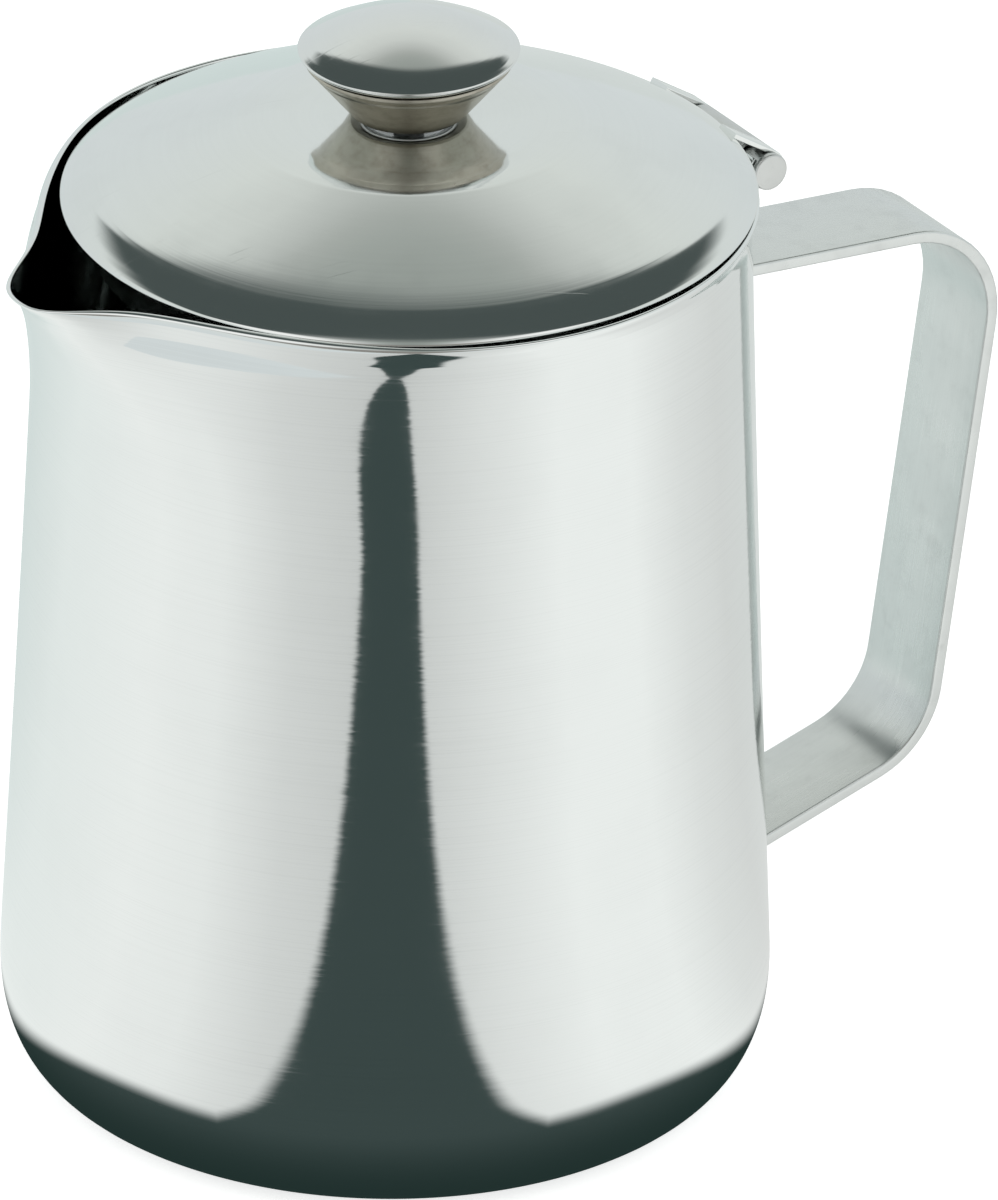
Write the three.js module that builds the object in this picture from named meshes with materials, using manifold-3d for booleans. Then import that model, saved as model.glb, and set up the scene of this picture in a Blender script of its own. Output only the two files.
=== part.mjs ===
// A polished stainless-steel milk frothing jug with a pulled spout, a bent strap handle
// and a hinged lid with a turned knob. Millimetres, +Z up, handle towards +X, spout towards -X.
// The base stands on z = 0 and the jug's axis is the Z axis.
import * as THREE from "three";
import { mergeVertices } from "three/addons/utils/BufferGeometryUtils.js";
import Module from "manifold-3d";

const wasm = await Module();
wasm.setup();

// Driving dimensions
const runningGap = 0.3; // room between pieces that touch or turn
const sheet = 0.8; // lid, hinge and skirt sheet

const jugHeight = 139.8; // top of the mouth's lip
const mouthRadius = 52; // outer wall at the mouth
const wallTaper = 0.0396; // radius gained per mm down the wall
const wallBelly = 5.5e-5; // and the slow swell on top of the taper
const wallThickness = 0.9;
const baseThickness = 1.1;
const cornerHeight = 18; // round between wall and base
const cornerInset = 10;
const cornerPower = 2.3;

const lipFlare = 1.1; // how far the lip's outer edge stands out from the wall
const spoutReach = 11.5; // how far the lip is pulled out
const spoutDrop = 1.8; // how far the pulled lip comes down
const lipHalfAngle = 10.2; // degrees, where half of the pull is left at the lip
const throatHalfAngle = 32; // and at the throat's lower end
const spoutPower = 2.8; // larger makes the spout squarer in plan
const throatDepth = 34; // how far down the wall the spout reaches
const throatPower = 1.9;
const drawIn = 2.55; // how far pulling the spout draws the lip in on either side of it
const drawInAngle = 40; // degrees from the spout's middle, where it is drawn in most
const drawInSpread = 27;
const drawInPower = 14; // larger keeps it closer to the lip

// The lid is drawn level, and then settles about the pin into the mouth, lower at the spout.
const lidSettle = 0.8; // degrees
const lidSetBack = 2.3; // lid centre, towards the handle
const lidRadius = 51.1;
const lidEdgeHeight = jugHeight + runningGap + 0.05;
const lidTopHeight = 152.7; // flat middle of the lid
const flatRadius = 19.4;
const domeStartRadius = 25;
const domeStartHeight = 151.83;
const domeEndRadius = 46;
const domeSlope = 0.318; // at the inner end of the dome
const domeCurve = 0.00342; // extra fall, which steepens it outwards
const skirtRadius = 46.6;
const skirtBottom = 132.5;

const pinX = 57.3;
const pinZ = 134.6;
const pinRadius = 2;
const pinHalfLength = 12.7;
const pinHeadRadius = 2.85;
const barrelInner = pinRadius + runningGap;
const barrelOuter = barrelInner + sheet;
const barrelMiddle = (barrelInner + barrelOuter) / 2;
const knuckleHalfWidth = 7;
const earInside = knuckleHalfWidth + runningGap;
const earOutside = 11.4;
const earSlope = 33; // degrees below level, from the lid's edge to the barrel

const strapWidth = 17.8;
const strapThickness = 2;
const strapTop = [103.65, 115.25]; // outer corner above the grip, before rounding
const strapLow = [92.5, 27.9]; // outer corner below the grip, before rounding
const upperArmSlope = -0.058; // rise per mm outwards
const lowerArmSlope = 0.31;
const upperBend = 16.5; // outer radius of the bend above the grip
const lowerBend = 15.5; // and below it
const footHeight = 16;

const knobRadius = 16.2;
const knobFoot = 153.5; // underside of the knob's cone
const knobBand = 162.2; // top of the cone, under the cap
const capWidest = 163.5;
const knobTop = 168.5;
const screwRadius = 2;
const screwHole = screwRadius + runningGap;

// Materials
const polished = { color: 0xdfe2e2, roughness: 0.07, metalness: 1 };
const lidSteel = { color: 0xd6d8d8, roughness: 0.13, metalness: 1 };
const satin = { color: 0xc4c8c8, roughness: 0.34, metalness: 1 };
const turned = { color: 0xa59f92, roughness: 0.38, metalness: 1 };
const plain = { color: 0xb5b7b6, roughness: 0.45, metalness: 1 };

// Solids and meshes
function solidOf(geometry) {
  const bare = geometry.clone();
  bare.deleteAttribute("normal");
  bare.deleteAttribute("uv");
  const merged = mergeVertices(bare, 1e-4);
  const vertProperties = new Float32Array(merged.attributes.position.array);
  const triVerts = new Uint32Array(merged.index.array);
  return new wasm.Manifold(new wasm.Mesh({ numProp: 3, vertProperties, triVerts }));
}

function geometryOf(solid) {
  const mesh = solid.getMesh();
  const geometry = new THREE.BufferGeometry();
  geometry.setAttribute("position", new THREE.BufferAttribute(mesh.vertProperties, 3));
  geometry.setIndex(new THREE.BufferAttribute(mesh.triVerts, 1));
  return geometry;
}

function meshOf(name, geometry, look) {
  const mesh = new THREE.Mesh(geometry, new THREE.MeshStandardMaterial(look));
  mesh.name = name;
  return mesh;
}

// A solid of revolution about Z from [radius, height] points.
// They run upwards on the outside and back down on the inside.
function turnedSolid(points, segments, centreX = 0) {
  const profile = points.map(([r, z]) => new THREE.Vector2(r, z));
  const geometry = new THREE.LatheGeometry(profile, segments);
  geometry.rotateX(Math.PI / 2);
  geometry.translate(centreX, 0, 0);
  return geometry;
}

// A plate: an outline of [x, z] points, pulled along Y from yLow to yHigh.
function plate(points, yLow, yHigh) {
  const outline = new THREE.Shape(points.map(([x, z]) => new THREE.Vector2(x, z)));
  const geometry = new THREE.ExtrudeGeometry(outline, { depth: yHigh - yLow, bevelEnabled: false });
  geometry.rotateX(Math.PI / 2);
  geometry.translate(0, yHigh, 0);
  return geometry;
}

// Points on an arc from one angle to another, in degrees, both ends included.
function arc(x, z, radius, from, to, steps) {
  return Array.from({ length: steps + 1 }, (_, i) => {
    const angle = THREE.MathUtils.degToRad(from + ((to - from) * i) / steps);
    return [x + radius * Math.cos(angle), z + radius * Math.sin(angle)];
  });
}

// The outline of a strip of even thickness that follows a line of [x, z] points.
function stripOutline(line, thickness) {
  const sides = [[], []];
  line.forEach(([x, z], i) => {
    const before = line[Math.max(i - 1, 0)];
    const after = line[Math.min(i + 1, line.length - 1)];
    const along = new THREE.Vector2(after[0] - before[0], after[1] - before[1]).normalize();
    const offset = thickness / 2;
    sides[0].push([x - along.y * offset, z + along.x * offset]);
    sides[1].unshift([x + along.y * offset, z - along.x * offset]);
  });
  return [...sides[0], ...sides[1]];
}

// Jug body
function wallRadius(z) {
  const down = jugHeight - z;
  return mouthRadius + wallTaper * down + wallBelly * down * down;
}

// Distance that the rounded base corner stands in from the wall's line.
function cornerAt(z, height, inset) {
  if (z >= height) return 0;
  const t = (height - z) / height;
  return inset * (1 - Math.pow(1 - Math.pow(t, cornerPower), 1 / cornerPower));
}

function jugProfile() {
  const corner = [0, 0.04, 0.12, 0.25, 0.42, 0.65, 1].map((t) => t * cornerHeight);
  const wall = [30, 50, 75, 98, 108, 115, 120, 124, 128, 131.5, 134.5];
  const outside = [...corner, ...wall].map((z) => [wallRadius(z) - cornerAt(z, cornerHeight, cornerInset), z]);
  const rim = mouthRadius + lipFlare;
  const lip = [
    [rim - 1, jugHeight - 3],
    [rim - 0.6, jugHeight - 1.8],
    [rim - 0.15, jugHeight - 0.9],
    [rim, jugHeight - 0.35],
    [rim - 0.15, jugHeight - 0.08],
    [rim - 0.4, jugHeight],
    [rim - 0.75, jugHeight - 0.2],
    [rim - 1.05, jugHeight - 0.85],
    [rim - 1.5, jugHeight - 1.9],
    [rim - 1.85, jugHeight - 3],
  ];
  const innerHeight = cornerHeight - baseThickness;
  const insideAt = (z) => {
    const inset = cornerAt(z - baseThickness, innerHeight, cornerInset);
    return [wallRadius(z) - wallThickness - inset, z];
  };
  const innerCorner = [1, 0.62, 0.36, 0.16, 0.05, 0].map((t) => baseThickness + t * innerHeight);
  const inside = [...wall.toReversed(), ...innerCorner].map(insideAt);
  return [[0, 0], ...outside, ...lip, ...inside, [0, baseThickness]];
}

// Share of the spout's pull at an angle away from the spout's middle, in degrees,
// and at a share of the throat's height, 0 at its lower end and 1 at the lip.
function pullAround(angle, up) {
  const halfAngle = throatHalfAngle + (lipHalfAngle - throatHalfAngle) * up * up;
  const bell = (a) => 1 / (1 + Math.pow(Math.abs(a) / halfAngle, spoutPower));
  return Math.max(0, bell(angle) - bell(85)) * Math.pow(up, throatPower);
}

// How far the wall is drawn in beside the spout.
function drawnAround(angle, up) {
  const off = (Math.abs(angle) - drawInAngle) / drawInSpread;
  return drawIn * Math.exp(-off * off) * Math.pow(up, drawInPower);
}

// Moves the wall's points outwards and a little down to form the spout.
function pullSpout(geometry) {
  const position = geometry.attributes.position;
  for (let i = 0; i < position.count; i += 1) {
    const x = position.getX(i);
    const y = position.getY(i);
    const z = position.getZ(i);
    const radius = Math.hypot(x, y);
    const up = Math.min(1, Math.max(0, (z - jugHeight + throatDepth) / throatDepth));
    if (radius < mouthRadius / 2 || up === 0) continue;
    const angle = THREE.MathUtils.radToDeg(Math.atan2(y, -x));
    const pull = pullAround(angle, up);
    const grown = 1 + (spoutReach * pull - drawnAround(angle, up)) / radius;
    position.setXYZ(i, x * grown, y * grown, z - spoutDrop * pull);
  }
  return geometry;
}

function jugShell() {
  return meshOf("jug_shell", pullSpout(turnedSolid(jugProfile(), 72)), polished);
}

// A curved plate that hugs the wall between two heights.
function saddle(low, high, halfWidth, thickness) {
  const steps = 3;
  const heights = Array.from({ length: steps + 1 }, (_, i) => low + ((high - low) * i) / steps);
  const near = heights.map((z) => [wallRadius(z) + runningGap, z]);
  const far = heights.map((z) => [wallRadius(z) + runningGap + thickness, z]);
  const ring = solidOf(turnedSolid([...far, ...near.toReversed(), far[0]], 144));
  const reach = wallRadius(low) + thickness + 5;
  const block = new THREE.BoxGeometry(reach, halfWidth * 2, high - low + 2);
  block.translate(reach / 2, 0, (low + high) / 2);
  return ring.intersect(solidOf(block));
}

// Corner of the strap: an arc that touches both straight lines, given as centre and angles.
function bendAt(corner, into, out, radius, inset) {
  const half = Math.acos(into.dot(out)) / 2;
  const back = radius * Math.tan(half);
  const start = corner.clone().addScaledVector(into, -back);
  const inward = new THREE.Vector2(into.y, -into.x);
  const centre = start.clone().addScaledVector(inward, radius);
  const from = THREE.MathUtils.radToDeg(Math.atan2(-inward.y, -inward.x));
  const sweep = THREE.MathUtils.radToDeg(half * 2);
  return arc(centre.x, centre.y, radius - inset, from, from - sweep, 8);
}

// The strap's side outline, from the upper foot over the grip to the lower foot.
function strapLine(inset) {
  const top = new THREE.Vector2(...strapTop);
  const low = new THREE.Vector2(...strapLow);
  const upper = new THREE.Vector2(1, upperArmSlope).normalize();
  const grip = low.clone().sub(top).normalize();
  const lower = new THREE.Vector2(-1, -lowerArmSlope).normalize();
  const startX = mouthRadius + 1.6;
  const startZ = top.y + (startX - top.x) * upperArmSlope - inset / upper.x;
  const endX = mouthRadius + 6.6;
  const endZ = low.y + (endX - low.x) * lowerArmSlope + inset / Math.abs(lower.x);
  return [
    [startX, startZ],
    ...bendAt(top, upper, grip, upperBend, inset),
    ...bendAt(low, grip, lower, lowerBend, inset),
    [endX, endZ],
  ];
}

function handleStrap() {
  const outer = strapLine(0);
  const inner = strapLine(strapThickness);
  const half = strapWidth / 2;
  const band = solidOf(plate([...outer, ...inner.toReversed()], -half, half));
  const upperZ = outer[0][1];
  const lowerZ = outer.at(-1)[1];
  const upperFoot = saddle(upperZ - footHeight, upperZ, half, strapThickness);
  const lowerFoot = saddle(lowerZ + 0.1, lowerZ + footHeight, half, strapThickness);
  const parts = [band, upperFoot, lowerFoot];
  return meshOf("handle_strap", geometryOf(wasm.Manifold.union(parts)), satin);
}

// Hinge
function hingeBracket() {
  const leg = [15, 7].map((down) => pinZ - down);
  const alongWall = leg.map((z) => [wallRadius(z) + runningGap + sheet / 2, z]);
  const curl = arc(pinX, pinZ, barrelMiddle, 184, -106, 20);
  const line = [...alongWall, ...curl];
  const outline = stripOutline(line, sheet);
  return meshOf("hinge_bracket", plate(outline, -knuckleHalfWidth, knuckleHalfWidth), plain);
}

function hingePin() {
  const half = pinHalfLength;
  const head = earOutside + runningGap;
  const end = [
    [pinRadius, head],
    [pinHeadRadius, head],
    [pinHeadRadius, half - 0.35],
    [pinHeadRadius - 0.35, half],
    [0, half],
  ];
  const crown = [...end.toReversed().map(([r, y]) => [r, -y]), ...end];
  const geometry = turnedSolid(crown, 24);
  geometry.rotateX(Math.PI / 2);
  geometry.translate(pinX, 0, pinZ);
  return meshOf("hinge_pin", geometry, plain);
}

// Lid
function domeHeight(r) {
  const out = r - domeStartRadius;
  return domeStartHeight - domeSlope * out - domeCurve * out * out;
}

function lidProfile() {
  const top = [
    [flatRadius, lidTopHeight],
    [(flatRadius + domeStartRadius) / 2 + 0.4, lidTopHeight - 0.25],
  ];
  const dome = [25, 30, 35, 40, 43, domeEndRadius].map((r) => [r, domeHeight(r)]);
  // How far in from the rim and up from its underside, round the turned-down edge.
  const edge = [
    [3.7, 2.77],
    [2.5, 2.05],
    [1.5, 1.35],
    [0.75, 0.85],
    [0.2, 0.6],
    [0, 0.45],
    [0.1, 0.15],
    [0.4, 0],
    [0.9, 0.05],
    [1.3, 0.25],
  ].map(([inset, up]) => [lidRadius - inset, lidEdgeHeight + up]);
  const outside = [[screwHole, lidTopHeight], ...top, ...dome, ...edge];
  const under = [domeEndRadius, 43, 40, 35, 30, 25].map((r) => [r, domeHeight(r) - sheet * 1.08]);
  const inside = [
    [lidRadius - 3, lidEdgeHeight + 1.3],
    ...under,
    [flatRadius, lidTopHeight - sheet],
    [screwHole, lidTopHeight - sheet],
  ];
  return [...inside.toReversed(), ...outside.toReversed(), inside.at(-1)];
}

// One ear: a tab of the lid's sheet that curls round the pin.
function ear(yLow, yHigh) {
  const touch = 90 - earSlope;
  const curl = arc(pinX, pinZ, barrelMiddle, touch, touch - 285, 20);
  const slope = THREE.MathUtils.degToRad(earSlope);
  const reach = 8.5;
  const root = [curl[0][0] - reach * Math.cos(slope), curl[0][1] + reach * Math.sin(slope)];
  return solidOf(plate(stripOutline([root, ...curl], sheet), yLow, yHigh));
}

function lidShell() {
  const dome = solidOf(turnedSolid(lidProfile(), 72, lidSetBack));
  const parts = [dome, ear(-earOutside, -earInside), ear(earInside, earOutside)];
  return meshOf("lid_shell", geometryOf(wasm.Manifold.union(parts)), lidSteel);
}

function lidSkirt() {
  const inner = skirtRadius - sheet;
  const under = (r) => domeHeight(r) - sheet * 1.08 - runningGap;
  const points = [
    [skirtRadius, skirtBottom + 0.3],
    [skirtRadius, under(skirtRadius)],
    [inner, under(inner) - 0.1],
    [inner, skirtBottom + sheet],
    [inner - 1.2, skirtBottom + sheet],
    [inner - 1.2, skirtBottom],
    [skirtRadius - 0.3, skirtBottom],
  ];
  const geometry = turnedSolid([...points, points[0]], 72, lidSetBack);
  return meshOf("lid_skirt", geometry, plain);
}

// Knob
function knobBody() {
  const profile = [
    [screwHole, knobFoot],
    [8.3, knobFoot],
    [8.7, knobFoot + 0.35],
    [14, knobBand - 1.9],
    [14.2, knobBand - 1.5],
    [15.2, knobBand - 0.5],
    [15.2, knobBand],
    [0, knobBand],
    [0, knobFoot + 6],
    [screwHole, knobFoot + 6],
    [screwHole, knobFoot],
  ];
  return meshOf("knob_body", turnedSolid(profile, 48, lidSetBack), turned);
}

function knobCap() {
  const seat = knobBand + runningGap;
  const crown = [0.85, 0.7, 0.5, 0.25].map((t) => {
    const r = t * (knobRadius - 0.3);
    return [r, knobTop - (knobTop - capWidest - 0.2) * t * t];
  });
  const profile = [
    [0, seat],
    [15.2, seat],
    [15.9, seat + 0.4],
    [knobRadius, capWidest],
    [knobRadius - 0.3, capWidest + 0.25],
    ...crown,
    [0, knobTop],
  ];
  return meshOf("knob_cap", turnedSolid(profile, 48, lidSetBack), polished);
}

function knobWasher() {
  const low = lidTopHeight + 0.15;
  const high = knobFoot - 0.15;
  const points = [[6.8, low], [6.8, high], [screwHole, high], [screwHole, low], [6.8, low]];
  return meshOf("knob_washer", turnedSolid(points, 32, lidSetBack), plain);
}

function lockWasher() {
  const high = lidTopHeight - sheet - 0.15;
  const low = high - 0.8;
  const points = [[6, low], [6, high], [screwHole, high], [screwHole, low], [6, low]];
  return meshOf("lock_washer", turnedSolid(points, 32, lidSetBack), plain);
}

function knobScrew() {
  const seat = lidTopHeight - sheet - 1.2;
  const headHeight = 2.4;
  const profile = [
    [0, seat - headHeight],
    [3, seat - headHeight],
    [4.3, seat - headHeight * 0.6],
    [4.5, seat],
    [screwRadius, seat],
    [screwRadius, knobFoot + 5.2],
    [0, knobFoot + 5.6],
  ];
  const screw = solidOf(turnedSolid(profile, 32, lidSetBack));
  const slot = new THREE.BoxGeometry(12, 1.2, 1.3);
  slot.translate(lidSetBack, 0, seat - headHeight);
  return meshOf("knob_screw", geometryOf(screw.subtract(solidOf(slot))), plain);
}

// Assembly
// Turns a lid piece about the pin, from level down into the mouth.
function settled(mesh) {
  mesh.geometry.translate(-pinX, 0, -pinZ);
  mesh.geometry.rotateY(-THREE.MathUtils.degToRad(lidSettle));
  mesh.geometry.translate(pinX, 0, pinZ);
  return mesh;
}

const jug = new THREE.Group();
jug.add(jugShell(), handleStrap(), hingeBracket(), hingePin());

const lidPieces = [lidShell(), lidSkirt(), knobBody(), knobCap(), knobWasher(), lockWasher(), knobScrew()];
const lid = new THREE.Group();
lid.add(...lidPieces.map(settled));

const frother = new THREE.Group();
frother.add(jug, lid);

export default frother;
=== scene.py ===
"""A polished steel milk frothing jug with a hinged lid, finished for the studio.

Every length in the classes is in millimetres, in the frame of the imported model: Z is up, the handle
points towards +X and the spout towards -X. Meshes are written in metres.
"""

from __future__ import annotations

import logging
import math
import sys
from dataclasses import dataclass, field
from enum import Enum
from typing import Sequence, Union

import bpy
from mathutils import Matrix, Vector

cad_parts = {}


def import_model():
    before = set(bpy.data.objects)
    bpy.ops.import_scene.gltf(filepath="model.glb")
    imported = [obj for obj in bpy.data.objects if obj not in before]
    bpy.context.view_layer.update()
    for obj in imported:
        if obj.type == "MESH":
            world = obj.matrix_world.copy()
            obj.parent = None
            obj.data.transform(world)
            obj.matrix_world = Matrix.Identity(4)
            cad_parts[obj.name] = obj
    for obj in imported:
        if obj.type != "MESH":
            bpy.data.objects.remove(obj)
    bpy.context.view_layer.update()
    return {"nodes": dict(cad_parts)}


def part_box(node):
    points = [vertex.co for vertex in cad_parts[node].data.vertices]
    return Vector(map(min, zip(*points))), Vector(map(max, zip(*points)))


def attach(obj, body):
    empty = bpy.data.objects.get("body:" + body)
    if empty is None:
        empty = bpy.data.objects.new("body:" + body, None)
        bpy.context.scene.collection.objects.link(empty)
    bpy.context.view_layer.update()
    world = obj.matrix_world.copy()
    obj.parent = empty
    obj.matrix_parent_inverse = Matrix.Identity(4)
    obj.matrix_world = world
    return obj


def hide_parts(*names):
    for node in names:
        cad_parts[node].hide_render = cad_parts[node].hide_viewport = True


LOG = logging.getLogger("frother")
MM = 0.001
Point = tuple[float, float]
Colour = tuple[float, float, float]


# Node trees


class Wire:
    """One value in a node tree; sums and products add the nodes that work them out."""

    def __init__(self, bench: "Bench", socket: bpy.types.NodeSocket) -> None:
        """Keeps the tree's bench and the socket that carries the value."""
        self.bench = bench
        self.socket = socket

    def _maths(self, operation: str, *values: "Number") -> "Wire":
        """Adds a Math node.

        Args:
            operation: the node's operation.
            values: its operands, in order.

        Returns:
            The node's result.
        """
        return self.bench.wire("ShaderNodeMath", {"operation": operation}, dict(enumerate(values)))

    def __add__(self, other: "Number") -> "Wire":
        """This plus the other."""
        return self._maths("ADD", self, other)

    def __radd__(self, other: float) -> "Wire":
        """The other plus this."""
        return self._maths("ADD", other, self)

    def __sub__(self, other: "Number") -> "Wire":
        """This less the other."""
        return self._maths("SUBTRACT", self, other)

    def __rsub__(self, other: float) -> "Wire":
        """The other less this."""
        return self._maths("SUBTRACT", other, self)

    def __mul__(self, other: "Number") -> "Wire":
        """This times the other."""
        return self._maths("MULTIPLY", self, other)

    def __rmul__(self, other: float) -> "Wire":
        """The other times this."""
        return self._maths("MULTIPLY", other, self)

    def __truediv__(self, other: "Number") -> "Wire":
        """This over the other."""
        return self._maths("DIVIDE", self, other)

    def __rtruediv__(self, other: float) -> "Wire":
        """The other over this."""
        return self._maths("DIVIDE", other, self)

    def __pow__(self, other: "Number") -> "Wire":
        """This to the other's power."""
        return self._maths("POWER", self, other)

    def __abs__(self) -> "Wire":
        """The size of this without its sign."""
        return self._maths("ABSOLUTE", self)

    def __gt__(self, other: "Number") -> "Wire":
        """1 where this is more than the other, else 0."""
        return self._maths("GREATER_THAN", self, other)

    def floor(self) -> "Wire":
        """The whole number at or below this."""
        return self._maths("FLOOR", self)

    def cos(self) -> "Wire":
        """The cosine of this, in radians."""
        return self._maths("COSINE", self)

    def sin(self) -> "Wire":
        """The sine of this, in radians."""
        return self._maths("SINE", self)

    def exp(self) -> "Wire":
        """e to the power of this."""
        return self._maths("EXPONENT", self)

    def root(self) -> "Wire":
        """The square root of this."""
        return self._maths("SQRT", self)

    def most(self, other: "Number") -> "Wire":
        """The larger of this and the other."""
        return self._maths("MAXIMUM", self, other)

    def least(self, other: "Number") -> "Wire":
        """The smaller of this and the other."""
        return self._maths("MINIMUM", self, other)

    def ramp(self, low: float, high: float, out_low: float = 0.0, out_high: float = 1.0) -> "Wire":
        """A smooth step.

        Args:
            low: where the step starts.
            high: where it ends.
            out_low: the value at low and before it.
            out_high: the value at high and past it.

        Returns:
            The stepped value.
        """
        sockets = {0: self, 1: low, 2: high, 3: out_low, 4: out_high}
        return self.bench.wire("ShaderNodeMapRange", {"interpolation_type": "SMOOTHSTEP"}, sockets)


Number = Union[Wire, float]
Fill = Union[Wire, float, Colour, Sequence[float], bpy.types.ID]
Settings = Union[dict[str, object], None]
Sockets = Union[dict[Union[int, str], Fill], None]


@dataclass
class Bench:
    """A node tree being built."""

    tree: bpy.types.NodeTree

    def node(self, kind: str, settings: Settings = None, sockets: Sockets = None) -> bpy.types.Node:
        """Adds a node.

        Args:
            kind: the node's type.
            settings: its own settings, such as an operation.
            sockets: values or wires for its inputs, by number or name.

        Returns:
            The node.
        """
        made = self.tree.nodes.new(kind)
        for name, value in (settings or {}).items():
            setattr(made, name, value)
        for key, value in (sockets or {}).items():
            self.plug(made.inputs[key], value)
        return made

    def plug(self, socket: bpy.types.NodeSocket, value: Fill) -> None:
        """Links a wire to an input, or sets the input's own value."""
        if isinstance(value, Wire):
            self.tree.links.new(value.socket, socket)
        elif socket.type == "RGBA" and len(value) == 3:
            socket.default_value = (*value, 1.0)
        else:
            socket.default_value = value

    def wire(self, kind: str, settings: Settings = None, sockets: Sockets = None, out: int | str = 0) -> Wire:
        """Adds a node and gives one of its outputs as a wire, by number or name."""
        return Wire(self, self.node(kind, settings, sockets).outputs[out])

    def stops(self, value: Wire, table: Sequence[tuple[float, Colour]]) -> Wire:
        """Looks a value up in a colour ramp.

        Args:
            value: the value, from 0 to 1.
            table: (place, colour) stops, in order.

        Returns:
            The ramp's colour.
        """
        made = self.node("ShaderNodeValToRGB", {}, {0: value})
        marks = made.color_ramp.elements
        while len(marks) < len(table):
            marks.new(1.0)
        for mark, (place, colour) in zip(marks, table):
            mark.position = place
            mark.color = (*colour, 1.0)
        return Wire(self, made.outputs[0])

    def split(self, vector: Wire) -> tuple[Wire, Wire, Wire]:
        """The three parts of a vector."""
        made = self.node("ShaderNodeSeparateXYZ", {}, {0: vector})
        return Wire(self, made.outputs[0]), Wire(self, made.outputs[1]), Wire(self, made.outputs[2])

    def join(self, x: Number, y: Number, z: Number) -> Wire:
        """A vector from its three parts."""
        return self.wire("ShaderNodeCombineXYZ", {}, {0: x, 1: y, 2: z})

    def blend(self, share: Number, first: Fill, second: Fill) -> Wire:
        """A colour between two: the first at share 0, the second at share 1."""
        made = self.node("ShaderNodeMix", {"data_type": "RGBA"}, {0: share, 6: first, 7: second})
        return Wire(self, made.outputs[2])

    def noise(self, vector: Wire, scale: float, detail: float = 2.0, roughness: float = 0.5) -> Wire:
        """Soft noise about 0.5, from 0 to 1."""
        sockets = {"Vector": vector, "Scale": scale, "Detail": detail, "Roughness": roughness}
        return self.wire("ShaderNodeTexNoise", {}, sockets, "Fac")


# Finishes


class Slot(Enum):
    """The record's material slots."""

    JUG = "jug_polish"
    LID = "lid_polish"
    STRAP = "strap_satin"
    TURNED = "turned_steel"
    PLAIN = "plain_steel"


@dataclass(frozen=True)
class SteelFinish:
    """Bare stainless steel with its marks. Sub-classes add how it was worked."""

    name: str
    tint: Colour
    roughness: float
    smudge: float = 0.05

    def build(self) -> bpy.types.Material:
        """Builds the material.

        Returns:
            The finished material.
        """
        steel = bpy.data.materials.new(self.name)
        steel.use_nodes = True
        bench = Bench(steel.node_tree)
        shader = steel.node_tree.nodes["Principled BSDF"]
        shader.inputs["Metallic"].default_value = 1.0
        place = bench.wire("ShaderNodeTexCoord", {}, {}, "Object")
        self.work(bench, shader, place)
        return steel

    def clouds(self, bench: Bench, place: Wire) -> Wire:
        """Wiped, hazy patches a couple of centimetres across, from 0 to 1."""
        return bench.noise(place, 55.0, 3.0, 0.6).ramp(0.42, 0.68)

    def coat(self, bench: Bench, shader: bpy.types.Node, tone: Wire, dulled: Colour, rough: Wire) -> None:
        """Plugs the tint and the roughness into the shader.

        Args:
            bench: the material's node tree.
            shader: its Principled shader.
            tone: how dull the steel is, from 0 to 1.
            dulled: what is left of red, green and blue where it is dullest.
            rough: the roughness.
        """
        dull = tuple(c * k for c, k in zip(self.tint, dulled))
        bench.plug(shader.inputs["Base Color"], bench.blend(tone, self.tint, dull))
        bench.plug(shader.inputs["Roughness"], rough)

    def relief(
        self, bench: Bench, shader: bpy.types.Node, height: Wire, strength: float, depth: float
    ) -> None:
        """Plugs a height, as deep as depth millimetres, into the shader as bump."""
        sockets = {"Strength": strength, "Distance": depth * MM, "Height": height}
        bench.plug(shader.inputs["Normal"], bench.wire("ShaderNodeBump", {}, sockets))

    def work(self, bench: Bench, shader: bpy.types.Node, place: Wire) -> None:
        """Sets tint, roughness and surface for the plain finish.

        Args:
            bench: the material's node tree.
            shader: its Principled shader.
            place: object coordinates, in metres.
        """
        haze = self.clouds(bench, place)
        grain = bench.noise(place, 3200.0, 2.0)
        speck = bench.noise(place, 900.0, 4.0, 0.7).ramp(0.55, 0.75)
        rough = haze * self.smudge + grain * 0.16 + (self.roughness - 0.08)
        self.coat(bench, shader, haze * 0.35 + speck * 0.4, (0.82, 0.82, 0.82), rough)
        self.relief(bench, shader, grain + speck, 0.25, 0.03)


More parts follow.
